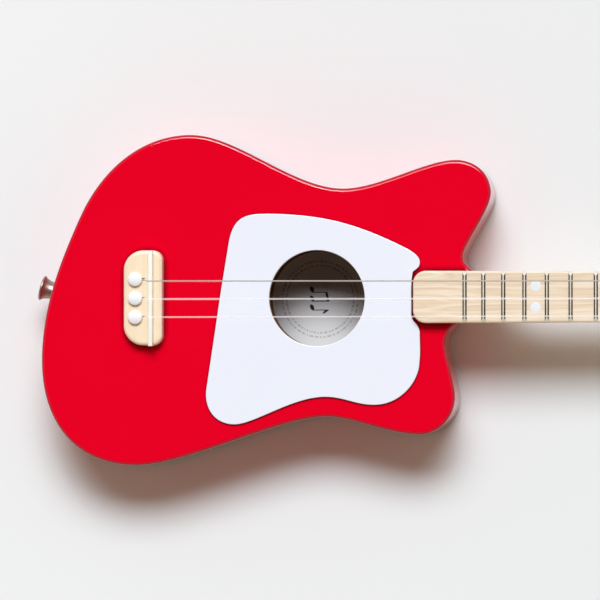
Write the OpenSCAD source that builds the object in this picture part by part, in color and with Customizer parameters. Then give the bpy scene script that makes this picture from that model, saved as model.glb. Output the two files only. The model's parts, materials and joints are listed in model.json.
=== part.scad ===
// Small three-string acoustic guitar, lying on its back.
// +X runs along the neck, +Y is the low-string side and +Z points out of the soundboard.
// The origin is on the flat of the back, on the neck's centre line, straight under the saddle.

/* [Body] */
// Depth of the body from the back to the soundboard
body_depth = 48; // [46:0.5:54]
// Thickness of the soundboard and of the back
plate_t = 3; // [2:0.5:3.5]
// Thickness of the bent sides
rim_t = 4; // [3:0.5:5]
// Width of the lining strips glued round the inside
lining_w = 5; // [3:0.5:6]
// Height of the lining strips and of the back braces
lining_h = 6; // [4:0.5:7]
// Radius of the sound hole
hole_r = 26.6; // [22:0.2:27]
// Distance from the saddle to the middle of the sound hole
hole_x = 92; // [90:0.5:94]
// Thickness of the pickguard
guard_t = 1.5; // [1:0.1:2]

/* [Neck] */
// Scale length, from the saddle to the nut
scale_len = 415; // [410:1:425]
// Number of frets
fret_count = 15; // [12:1:15]
// Width of the fretboard at the body end
board_w_body = 28.9; // [27:0.1:30]
// Width of the fretboard at the nut
board_w_nut = 27.4; // [26:0.1:28.9]
// Thickness of the fretboard
board_t = 4; // [3:0.5:4.5]
// Height of the fretboard's top above the soundboard
board_lift = 7.5; // [6.5:0.5:8]
// Thickness of the headstock
head_t = 13; // [12:0.5:15]

/* [Bridge] */
// Size of the bridge along the strings
bridge_l = 21.6; // [20:0.2:24]
// Size of the bridge across the strings
bridge_w = 52.8; // [50:0.1:56]
// Height of the bridge
bridge_h = 7.5; // [7:0.5:8]
// Distance from the saddle back to the bridge pins
pin_back = 8.7; // [7.5:0.1:9]
// Radius of a bridge pin's head
pin_head_r = 4; // [3.5:0.1:4.2]
// Radius of a bridge pin's shaft at the top
pin_r = 2.5; // [2.3:0.05:2.7]

/* [Strings] */
// Distance between the strings at the saddle
string_gap_saddle = 10; // [9.5:0.1:10.5]
// Distance between the strings at the nut
string_gap_nut = 9.5; // [9:0.1:10]
// Height of the strings above the fretboard at the saddle
saddle_rise = 3.3; // [2.8:0.1:3.8]
// Height of the strings above the fretboard at the nut
nut_rise = 1.1; // [1:0.1:1.5]

/* [Tuners] */
// Distance between the tuner posts along the neck
tuner_pitch = 28; // [27:0.5:30]
// Distance from the nut to the first post
first_post = 26; // [25:0.5:28]
// Radius of a tuner post
post_r = 3; // [2.8:0.1:3]
// Teeth on a tuner gear
gear_teeth = 14; // [14:1:15]

/* [Hidden] */
$fn = 48;

// Every outline below is a closed, anticlockwise list of rows:
// [x, y, heading in, heading out, handle in, handle out, steps to the next row].

// The body: two cutaways at the neck, two horns, two waists and a slanted lower bout
BODY_ROWS = [
    [178.0, 15.0, 90, 138, 0, 4, 3],
    [173.0, 23.0, 80, 80, 4, 8, 7],
    [188.5, 58.0, 92, 92, 9, 12, 8],
    [167.0, 76.0, 184, 184, 11, 17, 8],
    [106.5, 60.4, 180, 180, 19, 28, 12],
    [21.0, 90.6, 180, 180, 26, 29, 9],
    [-41.4, 44.4, 246, 246, 28, 22, 8],
    [-62.6, -35.0, 270, 270, 32, 36, 12],
    [-9.5, -93.5, 0, 0, 33, 28, 12],
    [97.0, -66.4, 0, 0, 26, 14, 10],
    [149.0, -76.2, 0, 0, 17, 11, 8],
    [168.4, -53.5, 96, 96, 12, 9, 7],
    [163.0, -24.5, 82, 82, 5, 5, 5],
    [168.6, -15.5, 42, 60, 4, 0, 1]
];
// The pickguard, with a notch round the end of the fretboard
GUARD_ROWS = [
    [145.4, 14.0, 90, 40, 0, 3, 3],
    [149.3, 19.2, 88, 88, 3, 4, 5],
    [139.0, 28.5, 154, 154, 5, 29, 7],
    [62.0, 46.4, 180, 180, 32, 13, 7],
    [42.7, 30.0, 260, 260, 12, 26, 3],
    [30.4, -50.0, 261, 261, 26, 12, 8],
    [46.0, -70.6, 0, 0, 11, 11, 8],
    [96.5, -55.3, 0, 0, 18, 11, 7],
    [124.0, -59.7, 0, 0, 11, 14, 7],
    [149.2, -34.5, 90, 90, 13, 6, 2],
    [149.2, -19.5, 90, 90, 4, 2, 3],
    [145.6, -13.0, 136, 120, 3, 3, 3],
    [144.6, -6.0, 90, 90, 3, 0, 1],
    [144.6, 6.6, 90, 90, 0, 4, 3]
];

// Heights of the main layers
top_z = body_depth;
guard_z = top_z + guard_t;
board_z = top_z + board_lift;
board_bottom = board_z - board_t;
bridge_z = top_z + bridge_h;
inner_low = plate_t;
inner_high = top_z - plate_t;

// The sound chamber and what is glued inside it
hole_y = -0.5;
block_half = 19;
neck_block_x = 140;
tail_block_x = -38;
tail_block_y = 2.4;
brace_w = 8;
brace_h = 8;
brace_gap = 0.2;
top_brace_x = [52, 128];
back_brace_x = [12, 127];
bridge_plate_t = 3;
bridge_plate_l = 36;
bridge_plate_w = 68;
label_r = 27;
label_t = 0.2;
label_x = 89.4;
label_y = -0.4;

// Frets: crown, tang and the slot that takes the tang
fret_w = 2.3;
fret_h = 0.9;
fret_tang_w = 0.6;
fret_tang_h = 1.6;
fret_inset = 0.7;
slot_play = 0.02;
slot_h = 2;
board_end_x = 145.9;
board_corner = 7;
dot_r = 2.95;
dot_t = 0.8;
dot_spread = 5.9;
single_dots = [3, 5, 7, 9];
double_dot = 12;

// Bridge, saddle and nut
bridge_x = -15.4;
bridge_y = -0.3;
bridge_corner_back = 11;
bridge_corner_front = 5.5;
saddle_t = 2.5;
saddle_foot = 4;
saddle_overhang = 0.5;
nut_t = 4;
nut_top = 1.9;
nut_slot_play = 0.04;
rest_gap = 0.03;

// Strings, numbered from the low side: radius, and where the row of strings sits across the neck
string_r = [0.45, 0.55, 0.45];
string_shift = -1.05;
string_sides = 10;
ball_r = 1.7;
ball_z = inner_high - bridge_plate_t - ball_r - 0.3;

// Bridge pins: the string runs down a groove in the shaft's front
pin_gap = 10.55;
pin_shift = -0.5;
pin_tip_r = 2.2;
pin_play = 0.08;
pin_head_h = 2.2;
pin_skirt = 0.9;
pin_groove_w = 1.5;
pin_groove_depth = 1.45;
pin_groove_rise = 1.25;
string_drop = 1.75;
ramp_w = 1.5;

// Neck block bolts and the threaded inserts in the heel
bolt_z = [21, 35];
bolt_r = 2.95;
bolt_hole_r = 3.2;
bolt_head_r = 5;
bolt_head_h = 4;
bolt_socket = 2.5;
insert_r = 4.5;
insert_bore_r = 3;
insert_x = 175.2;
insert_l = 13;
bolt_end_x = 185;

// Strap button on the tail
strap_row = 6;
strap_step = 0.57;
strap_z = 24;
strap_head_r = 7;
strap_base_r = 5;
strap_waist_r = 4.3;
strap_h = 9;
felt_t = 0.8;
felt_r = 6;
strap_screw_r = 1.8;
strap_screw_l = 26;
strap_screw_head_r = 3.2;
strap_bore_r = 1.9;

// Headstock and tuners
head_z = top_z + 0.5;
head_back = head_z - head_t;
plate_metal = 1;
bushing_flange_r = 5.5;
bushing_flange_t = 1.2;
bushing_r = 4.5;
bushing_l = 6;
bushing_play = 0.05;
post_play = 0.06;
post_wood_r = 3.4;
post_top = head_z + 9.5;
shoulder_r = 4;
post_stub_r = 1.98;
gear_bore_r = 2;
gear_h = 3;
gear_mean_r = 4.55;
lobe = 0.55;
worm_core_r = 2.1;
mesh_gap = 0.16;
worm_turns = 5;
worm_steps = 12;
worm_fn = 14;
worm_shaft_r = 1.45;
worm_bore_r = 1.5;
ear_t = 1.2;
ear_y = 8;
ear_half = 2.8;
button_gap = 15.5;
button_l = 11;
button_w = 15;
button_t = 5.6;
screw_r = 1.1;
screw_head_r = 2.1;
screw_head_h = 1.2;
screw_l = 9;
gear_screw_head_r = 2.7;
gear_screw_r = 1.1;
screw_x = -7.6;
screw_y = 5.2;
coil_gap = 0.08;
coil_turns = 2;
wrap_turn = 250;
wrap_steps = 10;
plate_top = head_back;
plate_bottom = head_back - plate_metal;
shoulder_top = plate_bottom - 0.3;
shoulder_h = 1.2;
gear_top = shoulder_top - shoulder_h;
gear_bottom = gear_top - gear_h;
worm_z = gear_bottom + gear_h / 2;
worm_x = gear_mean_r + worm_core_r + mesh_gap;
worm_pitch = 2 * PI * gear_mean_r / gear_teeth;
wrap_z = head_z + 4.8;

// Neck sections: [x, half width, depth, height of the flat top, squareness of the round]
NECK_ROWS = [
    [166, 14.4, 37, board_bottom, 5],
    [187, 14.3, 36.8, board_bottom, 5],
    [191, 14.3, 35.8, board_bottom, 4.8],
    [194, 14.3, 33.6, board_bottom, 4.4],
    [197, 14.2, 30.2, board_bottom, 3.9],
    [200, 14.2, 26.4, board_bottom, 3.4],
    [203, 14.2, 23, board_bottom, 3],
    [206.5, 14.15, 20, board_bottom, 2.7],
    [211, 14.1, 17.6, board_bottom, 2.5],
    [217, 14.1, 16.3, board_bottom, 2.35],
    [226, 14.05, 15.9, board_bottom, 2.3],
    [300, 13.9, 15.2, board_bottom, 2.3],
    [scale_len - 20, 13.75, 14.6, board_bottom, 2.3],
    [scale_len - 6, 13.7, 15, board_bottom, 2.5],
    [scale_len + nut_t, 13.7, board_bottom - head_back, board_bottom, 4],
    [scale_len + nut_t + 1, 13.8, board_bottom - head_back, board_bottom - 0.6, 5],
    [scale_len + nut_t + 5, 15, head_t, head_z, 8],
    [scale_len + nut_t + 8, 16, head_t, head_z, 9]
];
neck_sides = 28;

// The headstock: a slanted upper edge that keeps every button the same distance from its post
HEAD_ROWS = [
    [scale_len + 4, -13.7, 0, 340, 0, 5, 4],
    [scale_len + 20, -17.5, 0, 0, 6, 20, 4],
    [scale_len + 88, -18.5, 0, 0, 12, 6, 6],
    [scale_len + 97, -9.5, 90, 90, 5, 5, 6],
    [scale_len + 87, 4.4, 161, 161, 7, 20, 1],
    [scale_len + 19, 27.8, 161, 161, 20, 5, 6],
    [scale_len + 10, 21, 265, 265, 5, 4, 5],
    [scale_len + 4, 13.7, 180, 180, 3, 0, 1]
];

// ---------- functions ----------

function unit(a) = [cos(a), sin(a)];

function bezier(p, t) =
    pow(1 - t, 3) * p[0] + 3 * pow(1 - t, 2) * t * p[1] + 3 * (1 - t) * t * t * p[2] + pow(t, 3) * p[3];

function segment(a, b) =
    let (p = [a[0], a[1]], q = [b[0], b[1]])
    [p, p + a[5] * unit(a[3]), q - b[4] * unit(b[2]), q];

function outline(rows) = [
    for (i = [0:len(rows) - 1])
    let (s = segment(rows[i], rows[(i + 1) % len(rows)]), n = rows[i][6])
    for (k = [0:n - 1]) bezier(s, k / n)
];

// Moves every point of an anticlockwise outline inwards, square to the line of its neighbours
function inset(points, d) = let (n = len(points)) [
    for (i = [0:n - 1])
    let (t = points[(i + 1) % n] - points[(i + n - 1) % n])
    points[i] + d * [-t[1], t[0]] / norm(t)
];

function corner(x, y, r, start, steps) = [
    for (k = [0:steps]) [x, y] + r * unit(start + 90 * k / steps)
];

function fret_x(n) = scale_len * pow(2, -n / 12);

function board_half(x) =
    (board_w_body + (board_w_nut - board_w_body) * (x - board_end_x) / (scale_len - board_end_x)) / 2;

function string_y(i, x) =
    string_shift + (1 - i) * (string_gap_saddle + (string_gap_nut - string_gap_saddle) * x / scale_len);

function pin_y(i) = pin_shift + (1 - i) * pin_gap;

function post_x(i) = scale_len + first_post + i * tuner_pitch;

function post_y(i) = string_y(i, post_x(i)) + post_r + string_r[i] + coil_gap;

// Height of a string's middle where it rests on the saddle and on the nut
function saddle_top() = board_z + saddle_rise;
function nut_floor() = board_z + nut_rise;

// A ring of points round p, square to the direction d
function ring(p, d, r, sides) =
    let (
        aside = [1, 1, 1] - d * (d * [1, 1, 1]) / (d * d),
        a = aside / norm(aside),
        b = cross(d, a) / norm(d)
    )
    [for (k = [0:sides - 1]) p + r * (cos(360 * k / sides) * a + sin(360 * k / sides) * b)];

function sweep(points, r, sides) = let (last = len(points) - 1) [
    for (i = [0:last]) ring(points[i], points[min(i + 1, last)] - points[max(i - 1, 0)], r, sides)
];

// The route of a string: up the pin's groove, over the saddle and the nut, and round its post
function string_route(i) =
    let (
        r = string_r[i],
        crown = saddle_t / 2,
        crown_z = saddle_top() - crown,
        over = crown + r + rest_gap,
        nut_z = nut_floor() + r + rest_gap,
        down_x = -pin_back + string_drop,
        wrap_r = post_r + r + coil_gap,
        px = post_x(i),
        py = post_y(i)
    )
    concat(
        [[down_x, pin_y(i), ball_z]],
        [[down_x, pin_y(i), bridge_z - 2.2]],
        [[down_x + 0.25, pin_y(i), bridge_z - 1.3]],
        [[down_x + 0.9, pin_y(i), bridge_z - 0.5]],
        [for (a = [130, 118, 106, 94]) [over * cos(a), string_y(i, 0), crown_z + over * sin(a)]],
        [[over * 0.1, string_y(i, 0), crown_z + over]],
        [[scale_len - 0.2, string_y(i, scale_len), nut_z]],
        [[scale_len + nut_t / 2, string_y(i, scale_len + 2), nut_z - 0.02]],
        [[scale_len + nut_t, string_y(i, scale_len + nut_t), nut_z - 0.25]],
        [for (k = [0:wrap_steps])
            let (a = -90 + wrap_turn * k / wrap_steps)
            [px + wrap_r * cos(a), py + wrap_r * sin(a), wrap_z]]
    );

strap_line = segment(BODY_ROWS[strap_row], BODY_ROWS[strap_row + 1]);
strap_spot = bezier(strap_line, strap_step);
strap_along = bezier(strap_line, strap_step + 0.01) - bezier(strap_line, strap_step - 0.01);
strap_turn = atan2(-strap_along[0], strap_along[1]);

body_line = outline(BODY_ROWS);
cavity_line = inset(body_line, rim_t);
lining_line = inset(body_line, rim_t + lining_w);

// ---------- shared shapes ----------

module prism(points, low, high) {
    translate([0, 0, low])
    linear_extrude(height = high - low)
    polygon(points);
}

module box(low, high) {
    translate(low)
    cube(high - low);
}

module loft(rings) {
    m = len(rings[0]);
    n = len(rings);
    walls = [
        for (i = [0:n - 2], k = [0:m - 1])
        let (a = i * m + k, b = i * m + (k + 1) % m)
        each [[a, a + m, b + m], [a, b + m, b]]
    ];
    first = [for (k = [0:m - 1]) k];
    final = [for (k = [m - 1:-1:0]) (n - 1) * m + k];
    polyhedron([for (r = rings) each r], concat([first], walls, [final]));
}

module bolt_holes(r) {
    for (z = bolt_z)
        translate([neck_block_x - 10, 0, z])
        rotate([0, 90, 0])
        cylinder(r = r, h = 70);
}

// Puts its children on the tail, with +Z pointing straight out of the side
module on_tail(out) {
    translate([strap_spot[0], strap_spot[1], strap_z])
    rotate([0, 0, strap_turn])
    rotate([0, 90, 0])
    translate([0, 0, out])
    children();
}

module pin_holes(r, low, high) {
    for (i = [0:2])
        translate([-pin_back, pin_y(i), low])
        cylinder(r = r, h = high - low);
}

module neck_block_zone(grow) {
    box([neck_block_x - grow, -block_half - grow, 0], [200, block_half + grow, body_depth]);
}

module tail_block_zone(grow) {
    box(
        [-80, tail_block_y - block_half - grow, 0],
        [tail_block_x + grow, tail_block_y + block_half + grow, body_depth]
    );
}

// ---------- body ----------

module soundboard() {
    color("crimson")
    difference() {
        prism(body_line, inner_high, top_z);
        translate([hole_x, hole_y, 0])
        cylinder(r = hole_r, h = 100, $fn = 96);
        pin_holes(pin_r + pin_play, 0, 100);
    }
}

module back_plate() {
    color("crimson")
    prism(body_line, 0, plate_t);
}

module rim(side) {
    color("crimson")
    intersection() {
        difference() {
            prism(body_line, inner_low, inner_high);
            prism(cavity_line, 0, body_depth);
            bolt_holes(bolt_hole_r);
            on_tail(-strap_screw_l)
            cylinder(r = strap_bore_r, h = 2 * strap_screw_l);
        }
        translate([-100, side > 0 ? 0 : -120, 0])
        cube([320, 120, body_depth]);
    }
}

module neck_block() {
    color("burlywood")
    difference() {
        intersection() {
            prism(cavity_line, inner_low, inner_high);
            neck_block_zone(0);
        }
        bolt_holes(bolt_hole_r);
    }
}

module tail_block() {
    color("burlywood")
    difference() {
        intersection() {
            prism(cavity_line, inner_low, inner_high);
            tail_block_zone(0);
        }
        on_tail(-strap_screw_l)
        cylinder(r = strap_bore_r, h = 2 * strap_screw_l);
    }
}

module lining(low) {
    color("tan")
    difference() {
        prism(cavity_line, low, low + lining_h);
        prism(lining_line, 0, body_depth);
        neck_block_zone(brace_gap);
        tail_block_zone(brace_gap);
    }
}

module top_lining() {
    lining(inner_high - lining_h);
}

module back_lining() {
    lining(inner_low);
}

module braces(places, low, high) {
    color("wheat")
    intersection() {
        prism(inset(body_line, rim_t + lining_w + brace_gap), low, high);
        union() {
            for (x = places)
                box([x - brace_w / 2, -100, low], [x + brace_w / 2, 100, high]);
        }
    }
}

module top_braces() {
    braces(top_brace_x, inner_high - brace_h, inner_high);
}

module back_braces() {
    braces(back_brace_x, inner_low, inner_low + lining_h);
}

module bridge_plate() {
    color("burlywood")
    difference() {
        translate([-pin_back + 4, pin_shift, inner_high - bridge_plate_t / 2])
        cube([bridge_plate_l, bridge_plate_w, bridge_plate_t], center = true);
        pin_holes(pin_r + pin_play, 0, 100);
    }
}

module label() {
    color("whitesmoke")
    translate([label_x, label_y, inner_low])
    cylinder(r = label_r, h = label_t, $fn = 96);
}

module pickguard() {
    color("white")
    difference() {
        prism(outline(GUARD_ROWS), top_z, guard_z);
        translate([hole_x, hole_y, 0])
        cylinder(r = hole_r, h = 100, $fn = 96);
    }
}

// ---------- bridge ----------

module bridge() {
    front = bridge_x + bridge_l;
    half = bridge_w / 2;
    rb = bridge_corner_back;
    rf = bridge_corner_front;
    shape = concat(
        corner(front - rf, half - rf, rf, 0, 8),
        corner(bridge_x + rb, half - rb, rb, 90, 10),
        corner(bridge_x + rb, -half + rb, rb, 180, 10),
        corner(front - rf, -half + rf, rf, 270, 8)
    );
    color("wheat")
    difference() {
        translate([0, bridge_y, 0])
        prism(shape, top_z, bridge_z);
        box([-saddle_t / 2, -half - 2, bridge_z - saddle_foot], [saddle_t / 2, half + 2, bridge_z + 1]);
        pin_holes(pin_r + pin_play, 0, 100);
        for (i = [0:2])
            translate([-pin_back + 1.5, pin_y(i), bridge_z - 2.6])
            rotate([0, -30, 0])
            translate([0, -ramp_w / 2, 0])
            cube([5, ramp_w, 3]);
    }
}

module saddle() {
    low = bridge_z - saddle_foot;
    crown = saddle_t / 2;
    half = bridge_w / 2;
    color("ivory")
    translate([0, bridge_y + half - 0.3, 0])
    rotate([90, 0, 0])
    linear_extrude(height = bridge_w - 0.3 + saddle_overhang)
    polygon(concat(
        [[-crown, low], [crown, low]],
        [for (k = [0:12]) [0, saddle_top() - crown] + crown * unit(15 * k)]
    ));
}

// A tapered pin with a domed head and a groove for its string
module bridge_pin(i) {
    tip_z = inner_high - bridge_plate_t - 0.1;
    head_low = bridge_z + pin_skirt;
    dome = pin_head_h - 0.7;
    dome_r = (pin_head_r * pin_head_r + dome * dome) / (2 * dome);
    sweep_a = asin(pin_head_r / dome_r);
    color("white")
    translate([-pin_back, pin_y(i), 0])
    difference() {
        rotate_extrude()
        polygon(concat(
            [[0, tip_z], [pin_tip_r, tip_z], [pin_r, bridge_z - 0.5], [pin_r, head_low]],
            [[pin_head_r - 0.3, head_low], [pin_head_r, head_low + 0.3]],
            [for (k = [0:6])
                let (a = sweep_a * (1 - k / 6))
                [k == 6 ? 0 : dome_r * sin(a), head_low + pin_head_h - dome_r + dome_r * cos(a)]]
        ));
        translate([pin_r - pin_groove_depth, -pin_groove_w / 2, tip_z - 1])
        cube([10, pin_groove_w, bridge_z + pin_groove_rise - tip_z + 1]);
    }
}

// ---------- neck ----------

function neck_ring(row) = [
    for (k = [0:neck_sides])
    let (a = 180 * k / neck_sides, e = 2 / row[4])
    [
        row[0],
        -row[1] * sign(cos(a)) * pow(abs(cos(a)), e),
        row[3] - row[2] * pow(max(sin(a), 0), e)
    ]
];

module board_end(low, high, length) {
    half = board_half(board_end_x);
    r = board_corner;
    far = board_end_x + length;
    prism(concat(
        [[far, -board_half(far)], [far, board_half(far)]],
        corner(board_end_x + r, half - r, r, 90, 8),
        corner(board_end_x + r, -half + r, r, 180, 8)
    ), low, high);
}

module neck() {
    color("wheat")
    difference() {
        union() {
            difference() {
                loft([for (row = NECK_ROWS) neck_ring(row)]);
                prism(body_line, -1, top_z);
            }
            board_end(top_z, board_bottom, 24);
            prism(outline(HEAD_ROWS), head_back, head_z);
        }
        for (z = bolt_z)
            translate([insert_x - 10, 0, z])
            rotate([0, 90, 0])
            cylinder(r = insert_r, h = insert_l + 10);
        for (i = [0:2])
            translate([post_x(i), post_y(i), 0]) {
                cylinder(r = post_wood_r, h = 100);
                translate([0, 0, head_z - bushing_l])
                cylinder(r = bushing_r, h = 20);
                for (s = [-1, 1])
                    translate([screw_x, s * screw_y, head_back - 1])
                    cylinder(r = screw_r, h = screw_l);
            }
    }
}

module fretboard() {
    color("moccasin")
    difference() {
        board_end(board_bottom, board_z, scale_len - board_end_x);
        for (n = [1:fret_count])
            box(
                [fret_x(n) - fret_tang_w / 2 - slot_play, -20, board_z - slot_h],
                [fret_x(n) + fret_tang_w / 2 + slot_play, 20, board_z + 1]
            );
        dots(dot_r + slot_play, board_z - dot_t - slot_play);
    }
}

module fret(x) {
    half = board_half(x) - fret_inset;
    r = (fret_w * fret_w / 4 + fret_h * fret_h) / (2 * fret_h);
    spread = asin(fret_w / 2 / r);
    translate([x, half, board_z])
    rotate([90, 0, 0])
    linear_extrude(height = 2 * half)
    polygon(concat(
        [[-fret_tang_w / 2, 0], [-fret_tang_w / 2, -fret_tang_h]],
        [[fret_tang_w / 2, -fret_tang_h], [fret_tang_w / 2, 0]],
        [for (k = [0:8]) [0, fret_h - r] + r * unit(90 - spread + spread * k / 4)]
    ));
}

module frets() {
    color("silver")
    for (n = [1:fret_count]) fret(fret_x(n));
}

module dots(r, low) {
    for (n = single_dots)
        translate([(fret_x(n) + fret_x(n - 1)) / 2, 0, low])
        cylinder(r = r, h = board_z - low + 1);
    for (s = [-1, 1])
        translate([(fret_x(double_dot) + fret_x(double_dot - 1)) / 2, s * dot_spread, low])
        cylinder(r = r, h = board_z - low + 1);
}

module position_dots() {
    color("white")
    intersection() {
        dots(dot_r, board_z - dot_t);
        box([0, -20, 0], [scale_len, 20, board_z]);
    }
}

module nut() {
    half = board_half(scale_len) - 0.1;
    high = board_z + nut_top;
    color("ivory")
    difference() {
        translate([0, half, 0])
        rotate([90, 0, 0])
        linear_extrude(height = 2 * half)
        polygon([
            [scale_len, board_bottom], [scale_len + nut_t, board_bottom], [scale_len + nut_t, high - 0.9],
            [scale_len + nut_t - 0.9, high - 0.2], [scale_len + nut_t - 2, high], [scale_len, high]
        ]);
        for (i = [0:2])
            translate([scale_len - 1, string_y(i, scale_len + nut_t / 2), nut_floor() + string_r[i]])
            rotate([0, 90, 0])
            cylinder(r = string_r[i] + nut_slot_play, h = nut_t + 2);
        for (i = [0:2])
            box(
                [scale_len - 1, string_y(i, scale_len + 2) - string_r[i] - nut_slot_play,
                    nut_floor() + string_r[i]],
                [scale_len + nut_t + 1, string_y(i, scale_len + 2) + string_r[i] + nut_slot_play, high + 1]
            );
        for (i = [0:2])
            translate([scale_len + nut_t / 2, string_y(i, scale_len + 2) - string_r[i] - nut_slot_play, 0])
            translate([0, 0, nut_floor() + nut_slot_play - 0.02])
            rotate([0, 12, 0])
            cube([4, 2 * (string_r[i] + nut_slot_play), 4]);
    }
}

module neck_bolts() {
    color("silver")
    for (z = bolt_z)
        translate([neck_block_x, 0, z])
        rotate([0, 90, 0])
        difference() {
            union() {
                translate([0, 0, -bolt_head_h])
                cylinder(r = bolt_head_r, h = bolt_head_h);
                cylinder(r = bolt_r, h = bolt_end_x - neck_block_x);
            }
            translate([0, 0, -bolt_head_h - 1])
            cylinder(r = bolt_socket, h = 3.5, $fn = 6);
        }
}

module neck_inserts() {
    color("goldenrod")
    for (z = bolt_z)
        translate([insert_x, 0, z])
        rotate([0, 90, 0])
        difference() {
            cylinder(r = insert_r - 0.01, h = insert_l - 0.2);
            translate([0, 0, -1])
            cylinder(r = insert_bore_r, h = insert_l + 2);
        }
}

// ---------- strap button ----------

module strap_button() {
    low = felt_t;
    high = felt_t + strap_h;
    color("silver")
    on_tail(0)
    rotate_extrude()
    polygon([
        [strap_bore_r, low], [strap_base_r, low], [strap_base_r, low + 1], [strap_waist_r + 0.3, low + 2],
        [strap_waist_r, low + 3], [strap_waist_r + 0.3, low + 4.4], [strap_head_r - 1.2, low + 6.8],
        [strap_head_r - 0.2, low + 7.4], [strap_head_r, low + 8], [strap_head_r - 0.3, high - 0.4],
        [strap_head_r - 1.1, high], [strap_screw_head_r + 0.8, high],
        [strap_screw_head_r + 0.3, high - 1.8], [strap_bore_r, high - 1.8]
    ]);
}

module strap_screw() {
    head = felt_t + strap_h - 1.75;
    color("silver")
    on_tail(0)
    difference() {
        union() {
            translate([0, 0, -strap_screw_l + 10])
            cylinder(r = strap_screw_r, h = head + strap_screw_l - 10);
            translate([0, 0, head])
            cylinder(r = strap_screw_head_r, h = 1.6);
        }
        for (a = [0, 90])
            translate([0, 0, head + 1.7])
            rotate([0, 0, a])
            cube([4.2, 0.9, 2], center = true);
    }
}

module strap_felt() {
    color("dimgray")
    on_tail(0.05)
    difference() {
        cylinder(r = felt_r, h = felt_t - 0.1);
        translate([0, 0, -1])
        cylinder(r = strap_bore_r, h = 4);
    }
}

// ---------- strings ----------

module string(i) {
    color("lightgray") {
        loft(sweep(string_route(i), string_r[i], string_sides));
        translate([-pin_back + string_drop, pin_y(i), ball_z])
        sphere(r = ball_r, $fn = 32);
    }
}

module winding(i) {
    color("lightgray")
    for (k = [1:coil_turns])
        translate([post_x(i), post_y(i), wrap_z - k * (2 * string_r[i] + coil_gap)])
        rotate_extrude()
        translate([post_r + string_r[i], 0])
        circle(r = string_r[i], $fn = 24);
}

// ---------- tuners ----------

module tuner_plate(i) {
    color("silver")
    translate([post_x(i), post_y(i), 0])
    difference() {
        union() {
            box([-11, -ear_y, plate_bottom], [worm_x + ear_half + 1.4, ear_y, plate_top]);
            for (s = [-1, 1])
                box(
                    [worm_x - ear_half, s > 0 ? ear_y - ear_t : -ear_y, worm_z - ear_half],
                    [worm_x + ear_half, s > 0 ? ear_y : -ear_y + ear_t, plate_bottom + 0.5]
                );
        }
        cylinder(r = post_r + post_play, h = 100);
        translate([worm_x, 0, worm_z])
        rotate([90, 0, 0])
        cylinder(r = worm_bore_r, h = 40, center = true);
        for (s = [-1, 1])
            translate([screw_x, s * screw_y, 0])
            cylinder(r = screw_r + 0.1, h = 100);
    }
}

function worm_rings() = let (slices = worm_turns * worm_steps) [
    for (s = [0:slices])
    let (a = 360 * s / worm_steps, h = s * worm_pitch / worm_steps)
    [for (k = [0:worm_fn - 1]) concat(lobe * unit(a) + worm_core_r * unit(a + 360 * k / worm_fn), h)]
];

module worm(i) {
    color("silver")
    translate([post_x(i) + worm_x, post_y(i), worm_z])
    rotate([-90, 0, 0]) {
        translate([0, 0, -worm_turns * worm_pitch / 2])
        loft(worm_rings());
        translate([0, 0, -ear_y - 0.8])
        cylinder(r = worm_shaft_r, h = ear_y + button_gap + button_l - 1.5);
    }
}

module button(i) {
    inner = button_l / 2;
    color("white")
    translate([post_x(i) + worm_x, post_y(i) + button_gap, worm_z])
    difference() {
        translate([0, inner, -button_t / 2])
        union() {
            for (s = [-1, 1])
                translate([s * (button_w / 2 - inner), 0, 0])
                cylinder(r = inner, h = button_t);
            box([-button_w / 2 + inner, -inner, 0], [button_w / 2 - inner, inner, button_t]);
        }
        translate([0, -1, 0])
        rotate([-90, 0, 0])
        cylinder(r = worm_shaft_r, h = button_l - 1.3);
    }
}

module post(i) {
    color("silver")
    translate([post_x(i), post_y(i), 0])
    difference() {
        rotate_extrude()
        polygon([
            [0, gear_bottom], [post_stub_r, gear_bottom], [post_stub_r, gear_top],
            [shoulder_r, gear_top], [shoulder_r, shoulder_top], [post_r, shoulder_top],
            [post_r, post_top - 0.6], [post_r - 0.6, post_top], [0, post_top]
        ]);
        translate([0, 0, post_top - 2])
        rotate([0, 90, 0])
        cylinder(r = 0.7, h = 20, center = true);
        translate([0, 0, gear_bottom - 1])
        cylinder(r = gear_screw_r + 0.03, h = 6.5);
    }
}

module gear(i) {
    points = gear_teeth * 8;
    color("goldenrod")
    translate([post_x(i), post_y(i), gear_bottom])
    difference() {
        linear_extrude(height = gear_h)
        polygon([
            for (k = [0:points - 1])
            let (a = 360 * k / points)
            (gear_mean_r - lobe * cos(gear_teeth * a)) * unit(a)
        ]);
        translate([0, 0, -1])
        cylinder(r = gear_bore_r, h = gear_h + 2);
    }
}

module gear_screw(i) {
    color("silver")
    translate([post_x(i), post_y(i), gear_bottom])
    difference() {
        union() {
            translate([0, 0, -screw_head_h])
            cylinder(r = gear_screw_head_r, h = screw_head_h);
            cylinder(r = gear_screw_r, h = 5);
        }
        translate([0, 0, -screw_head_h])
        cube([4, 0.8, 1], center = true);
    }
}

module tuner_bushings() {
    color("silver")
    for (i = [0:2])
        translate([post_x(i), post_y(i), head_z])
        difference() {
            union() {
                cylinder(r = bushing_flange_r, h = bushing_flange_t);
                translate([0, 0, -bushing_l + 0.1])
                cylinder(r = bushing_r - bushing_play, h = bushing_l);
            }
            cylinder(r = post_r + post_play, h = 40, center = true);
        }
}

module tuner_screws() {
    color("silver")
    for (i = [0:2], s = [-1, 1])
        translate([post_x(i) + screw_x, post_y(i) + s * screw_y, plate_bottom])
        difference() {
            union() {
                translate([0, 0, -screw_head_h])
                cylinder(r = screw_head_r, h = screw_head_h);
                cylinder(r = screw_r - 0.02, h = screw_l - 1);
            }
            for (a = [0, 90])
                translate([0, 0, -screw_head_h])
                rotate([0, 0, a])
                cube([2.8, 0.6, 1.2], center = true);
        }
}

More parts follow.
